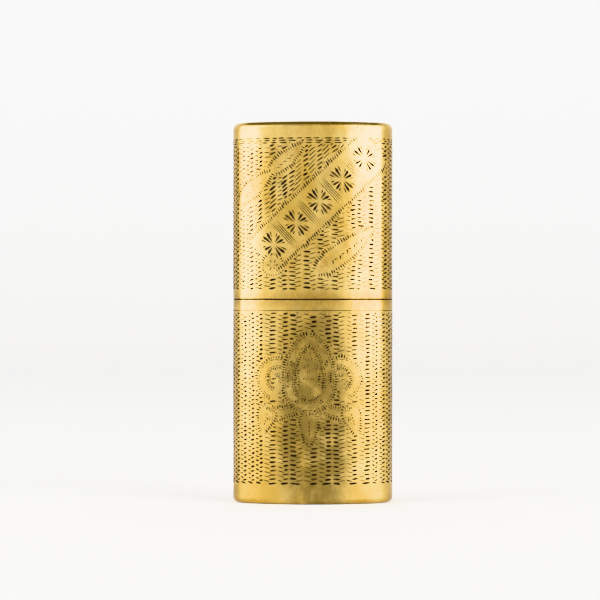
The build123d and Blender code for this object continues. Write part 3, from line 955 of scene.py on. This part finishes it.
neck_brass = worn_metal("neck_brass", (0.60, 0.42, 0.14), (0.34, 0.23, 0.07), 0.22, (9, 9, 0.25))
sheet_brass = worn_metal("sheet_brass", (0.55, 0.37, 0.12), (0.26, 0.17, 0.05), 0.28, (5, 5, 5))
turned_brass = worn_metal("turned_brass", (0.58, 0.39, 0.13), (0.25, 0.16, 0.05), 0.26,
                          (1.2, 1.2, 22))
pin_steel = worn_metal("pin_steel", (0.58, 0.57, 0.55), (0.34, 0.31, 0.27), 0.28, (8, 8, 8))
spring_steel = worn_metal("spring_steel", (0.46, 0.47, 0.49), (0.22, 0.19, 0.16), 0.27, (9, 9, 1))
wheel_steel = worn_metal("wheel_steel", (0.26, 0.25, 0.245), (0.07, 0.058, 0.05), 0.34, (3, 26, 3),
                         0.8)
flint_metal = worn_metal("flint_metal", (0.24, 0.23, 0.23), (0.10, 0.09, 0.085), 0.5, (7, 7, 7))

node_materials = (
    (neck_brass, ("neck_sleeve",)),
    (sheet_brass, ("base_plate", "burner_deck", "wheel_bracket", "wind_screen", "snuffer_cup")),
    (turned_brass, ("wick_tube", "flint_tube", "flint_bush", "filler_bush", "bracket_rivets",
                    "flint_plunger", "flint_screw", "filler_screw")),
    (pin_steel, ("wheel_axle",)),
    (spring_steel, ("grip_spring_front", "grip_spring_rear")),
    (wheel_steel, ("striker_wheel",)),
    (flint_metal, ("flint",)),
    (washer_fibre(), ("flint_washer", "filler_washer")),
)
for material, nodes in node_materials:
    for node in nodes:
        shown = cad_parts[node]
        shown.data.materials.clear()
        shown.data.materials.append(material)

# ---- Wick: braided cotton with a burnt tip ----


def make_wick():
    """A round braid of strands, rounded and frayed at its burnt tip."""
    low_corner, high_corner = node_box("wick")
    x, radius = (low_corner.x + high_corner.x) / 2, (high_corner.x - low_corner.x) / 2
    strands, lay = 10, 1.7
    tip = 0.9  # the rounded, frayed end
    points = []
    segments = 120
    heights = np.concatenate([
        np.arange(low_corner.z, high_corner.z - tip, 0.14),
        high_corner.z - tip + tip * np.sin(np.linspace(0, 0.5 * math.pi, 12)),
    ])
    for z in heights:
        over = max(0.0, (z - (high_corner.z - tip)) / tip)
        taper = math.sqrt(max(0.0, 1 - over**2.6)) if over < 1 else 0.0
        for step in range(segments):
            angle = 2 * math.pi * step / segments
            a = strands * angle / 2 + lay * z
            b = strands * angle / 2 - lay * z
            first = abs(math.cos(a)) * (0.5 + 0.5 * math.sin(b * 2))
            second = abs(math.cos(b)) * (0.5 - 0.5 * math.sin(b * 2))
            braid = max(first, second)
            fray = 0.05 * over * math.sin(17 * angle + 3 * math.sin(5 * z))
            out = (radius - 0.12 + 0.10 * braid - abs(fray)) * max(taper, 0.05)
            points.append((x + out * math.cos(angle), out * math.sin(angle), z))
    faces = grid_faces(len(heights), segments)
    faces.append(tuple(range(segments))[::-1])
    faces.append(tuple(range(len(points) - segments, len(points))))
    s = Shader("wick_cotton", roughness=0.95)
    soot_height = s.node("SeparateXYZ", {0: s.place}).outputs["Z"]
    ragged = s.maths("MULTIPLY", s.noise(1.3, detail=4), 0.0014)
    soot = s.steps(s.maths("ADD", soot_height, ragged), (high_corner.z - 1.9) * MM,
                   (high_corner.z - 0.2) * MM)
    yarn = s.mix(s.noise(4, 4, 1.2, detail=4), (0.55, 0.48, 0.36), (0.80, 0.75, 0.64))
    s.colour(s.mix(soot, yarn, (0.012, 0.010, 0.009)))
    s.bump((s.noise(14, 14, 3, detail=4), 0.03))
    piece = mesh_piece("wick_braid", points, faces, "case", [s.material])
    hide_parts("wick")


# ---- Packing: cotton wadding and felt ----


def fluffed(node, name, body, voxel, depth, scale, material, seed):
    """A soft copy of a CAD pad: remeshed, tufted inward at random, and smooth."""
    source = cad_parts[node]
    copy = bpy.data.objects.new(name, source.data.copy())
    bpy.context.scene.collection.objects.link(copy)
    remesh = copy.modifiers.new("even", "REMESH")
    remesh.mode = "VOXEL"
    remesh.voxel_size = voxel * MM
    shown = copy.evaluated_get(bpy.context.evaluated_depsgraph_get())
    mesh = bpy.data.meshes.new_from_object(shown)
    copy.modifiers.clear()
    copy.data = mesh
    place = np.empty(len(mesh.vertices) * 3)
    out = np.empty(len(mesh.vertices) * 3)
    mesh.vertices.foreach_get("co", place)
    mesh.vertices.foreach_get("normal", out)
    place, out = place.reshape(-1, 3) / MM, out.reshape(-1, 3)
    rng = np.random.default_rng(seed)
    lift = np.zeros(len(place))
    for octave in range(5):
        size = scale * 1.8**octave
        for _ in range(7):
            way = rng.normal(size=3)
            way *= size / np.linalg.norm(way)
            lift += np.sin(place @ way + rng.uniform(0, 6.3)) / (7 * 1.45**octave)
    sink = depth * (0.5 - 0.5 * np.clip(lift * 1.6, -1, 1))
    place -= out * (sink + 0.01)[:, None]
    mesh.vertices.foreach_set("co", (place * MM).reshape(-1))
    mesh.polygons.foreach_set("use_smooth", [True] * len(mesh.polygons))
    mesh.materials.clear()
    mesh.materials.append(material)
    mesh.update()
    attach(copy, body)
    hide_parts(node)


def make_packing():
    cotton = Shader("wadding_cotton", roughness=1.0)
    cotton.colour(cotton.mix(cotton.noise(1.6, detail=6, rough=0.7), (0.62, 0.57, 0.47),
                             (0.90, 0.88, 0.83)))
    cotton.bump((cotton.noise(5, detail=6, rough=0.75, warp=1.5), 0.12))
    felt = Shader("pad_felt", roughness=1.0)
    felt.colour(felt.mix(felt.noise(3.0, 3.0, 6.0, detail=6, rough=0.7), (0.16, 0.15, 0.13),
                         (0.34, 0.32, 0.28)))
    felt.bump((felt.noise(9, detail=6, rough=0.8, warp=1.0), 0.06))
    for seed, pad in enumerate(("wadding_lower", "wadding_middle", "wadding_upper")):
        fluffed(pad, pad.replace("wadding", "fluff"), "case", 0.34, 0.42, 1.1,
                cotton.material, 20 + seed)
    fluffed("felt_pad", "felt_fluff", "case", 0.24, 0.14, 2.4, felt.material, 30)


# ---- Flint spring: round wire, with closed ends ----


def make_spring():
    """The flint spring, a coil of round wire with closed ends, carried on the flint seal's body."""
    low_corner, high_corner = node_box("flint_spring")
    x = (low_corner.x + high_corner.x) / 2
    wire = 0.17
    coil = (high_corner.x - low_corner.x) / 2 - wire
    bottom, top = low_corner.z + wire, high_corner.z - wire
    end_turns, end_pitch = 1.25, 0.37
    middle_turns = 24
    rise = top - bottom - 2 * end_turns * end_pitch
    turns = 2 * end_turns + middle_turns
    steps = int(turns * 28)
    points = []
    around = 10
    for k in range(steps + 1):
        t = turns * k / steps
        if t < end_turns:
            z = bottom + end_pitch * t
        elif t > turns - end_turns:
            z = top - end_pitch * (turns - t)
        else:
            z = bottom + end_turns * end_pitch + rise * (t - end_turns) / middle_turns
        angle = 2 * math.pi * t
        outward = Vector((math.cos(angle), math.sin(angle), 0))
        for j in range(around):
            b = 2 * math.pi * j / around
            centre = Vector((x, 0, z)) + outward * coil
            points.append(centre + outward * wire * math.cos(b) + Vector((0, 0, wire * math.sin(b))))
    faces = [f[::-1] for f in grid_faces(steps + 1, around)]
    faces.append(tuple(range(around)))
    faces.append(tuple(range(len(points) - around, len(points)))[::-1])
    piece = mesh_piece("flint_coil", [tuple(p) for p in points], faces, "flint_seal",
                       [spring_steel])
    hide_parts("flint_spring")
    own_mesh(piece)


make_wick()
make_packing()
make_spring()

# ---- Studio ----


def floor_and_wall():
    """A pale seamless backdrop: a round floor whose edge curves up into a wall."""
    base = -0.03  # just under the foot, so that the two don't share a plane
    flat, bend, wall_top = 700.0, 220.0, 1300.0
    profile = [(0.001, base), (150.0, base), (flat, base)]
    profile += [
        (flat + bend * math.sin(a), base + bend * (1 - math.cos(a)))
        for a in np.radians(range(10, 91, 10))
    ]
    profile += [(flat + bend, 700.0), (flat + bend, wall_top)]
    points = []
    segments = 96
    for radius, height in profile:
        for step in range(segments):
            angle = 2 * math.pi * step / segments
            points.append((radius * math.cos(angle), radius * math.sin(angle), height))
    faces = grid_faces(len(profile), segments)
    mesh = bpy.data.meshes.new("studio_floor")
    mesh.from_pydata((np.array(points) * MM).tolist(), [], faces)
    mesh.polygons.foreach_set("use_smooth", [True] * len(mesh.polygons))
    cloth = Shader("studio_cloth", roughness=0.9)
    # Painted light: the floor is darker and the wall paler, graded up to 0.25 m high, to make up for
    # the wall getting less light, so the backdrop looks evenly bright.
    height = cloth.node("SeparateXYZ", {0: cloth.place}).outputs["Z"]
    cloth.colour(cloth.mix(cloth.steps(height, 0.0, 0.25), (0.76, 0.755, 0.745),
                           (0.92, 0.92, 0.925)))
    mesh.materials.append(cloth.material)
    backdrop = bpy.data.objects.new("studio_floor", mesh)
    bpy.context.scene.collection.objects.link(backdrop)


def softbox(name, azimuth, height, distance, width, tall, watts, target):
    """A soft light, azimuth degrees round from the camera's side, facing the lighter."""
    light = bpy.data.lights.new(name, "AREA")
    light.shape = "RECTANGLE"
    light.size, light.size_y = width * MM, tall * MM
    light.energy = watts
    lamp = bpy.data.objects.new(name, light)
    bpy.context.scene.collection.objects.link(lamp)
    turn = math.radians(azimuth)
    spot = Vector((distance * math.sin(turn), -distance * math.cos(turn), height))
    lamp.location = spot * MM
    lamp.rotation_euler = (Vector(target) - spot).to_track_quat("-Z", "Y").to_euler()
    lamp.visible_camera = False


def studio():
    camera_distance, camera_height = 350, 31.5
    floor_and_wall()
    softbox("light_left", -68, 240, 640, 560, 464, 10.5, (0, 0, 110))
    softbox("light_right", 53, 240, 640, 450, 464, 10.5, (0, 0, 110))
    world = bpy.data.worlds.new("studio_air")
    world.use_nodes = True
    world.node_tree.nodes["Background"].inputs["Color"].default_value = (0.97, 0.98, 1.0, 1)
    world.node_tree.nodes["Background"].inputs["Strength"].default_value = 0.29
    bpy.context.scene.world = world
    camera = bpy.data.objects.new("camera", bpy.data.cameras.new("camera"))
    bpy.context.scene.collection.objects.link(camera)
    camera.data.lens = 136.6
    camera.data.sensor_width = 36
    camera.data.clip_start = 0.01
    camera.location = Vector((-2.0, body_low.y - camera_distance, camera_height)) * MM
    camera.rotation_euler = (math.radians(90), 0, 0)
    bpy.context.scene.camera = camera
    bpy.context.scene.view_settings.view_transform = "Khronos PBR Neutral"


studio()
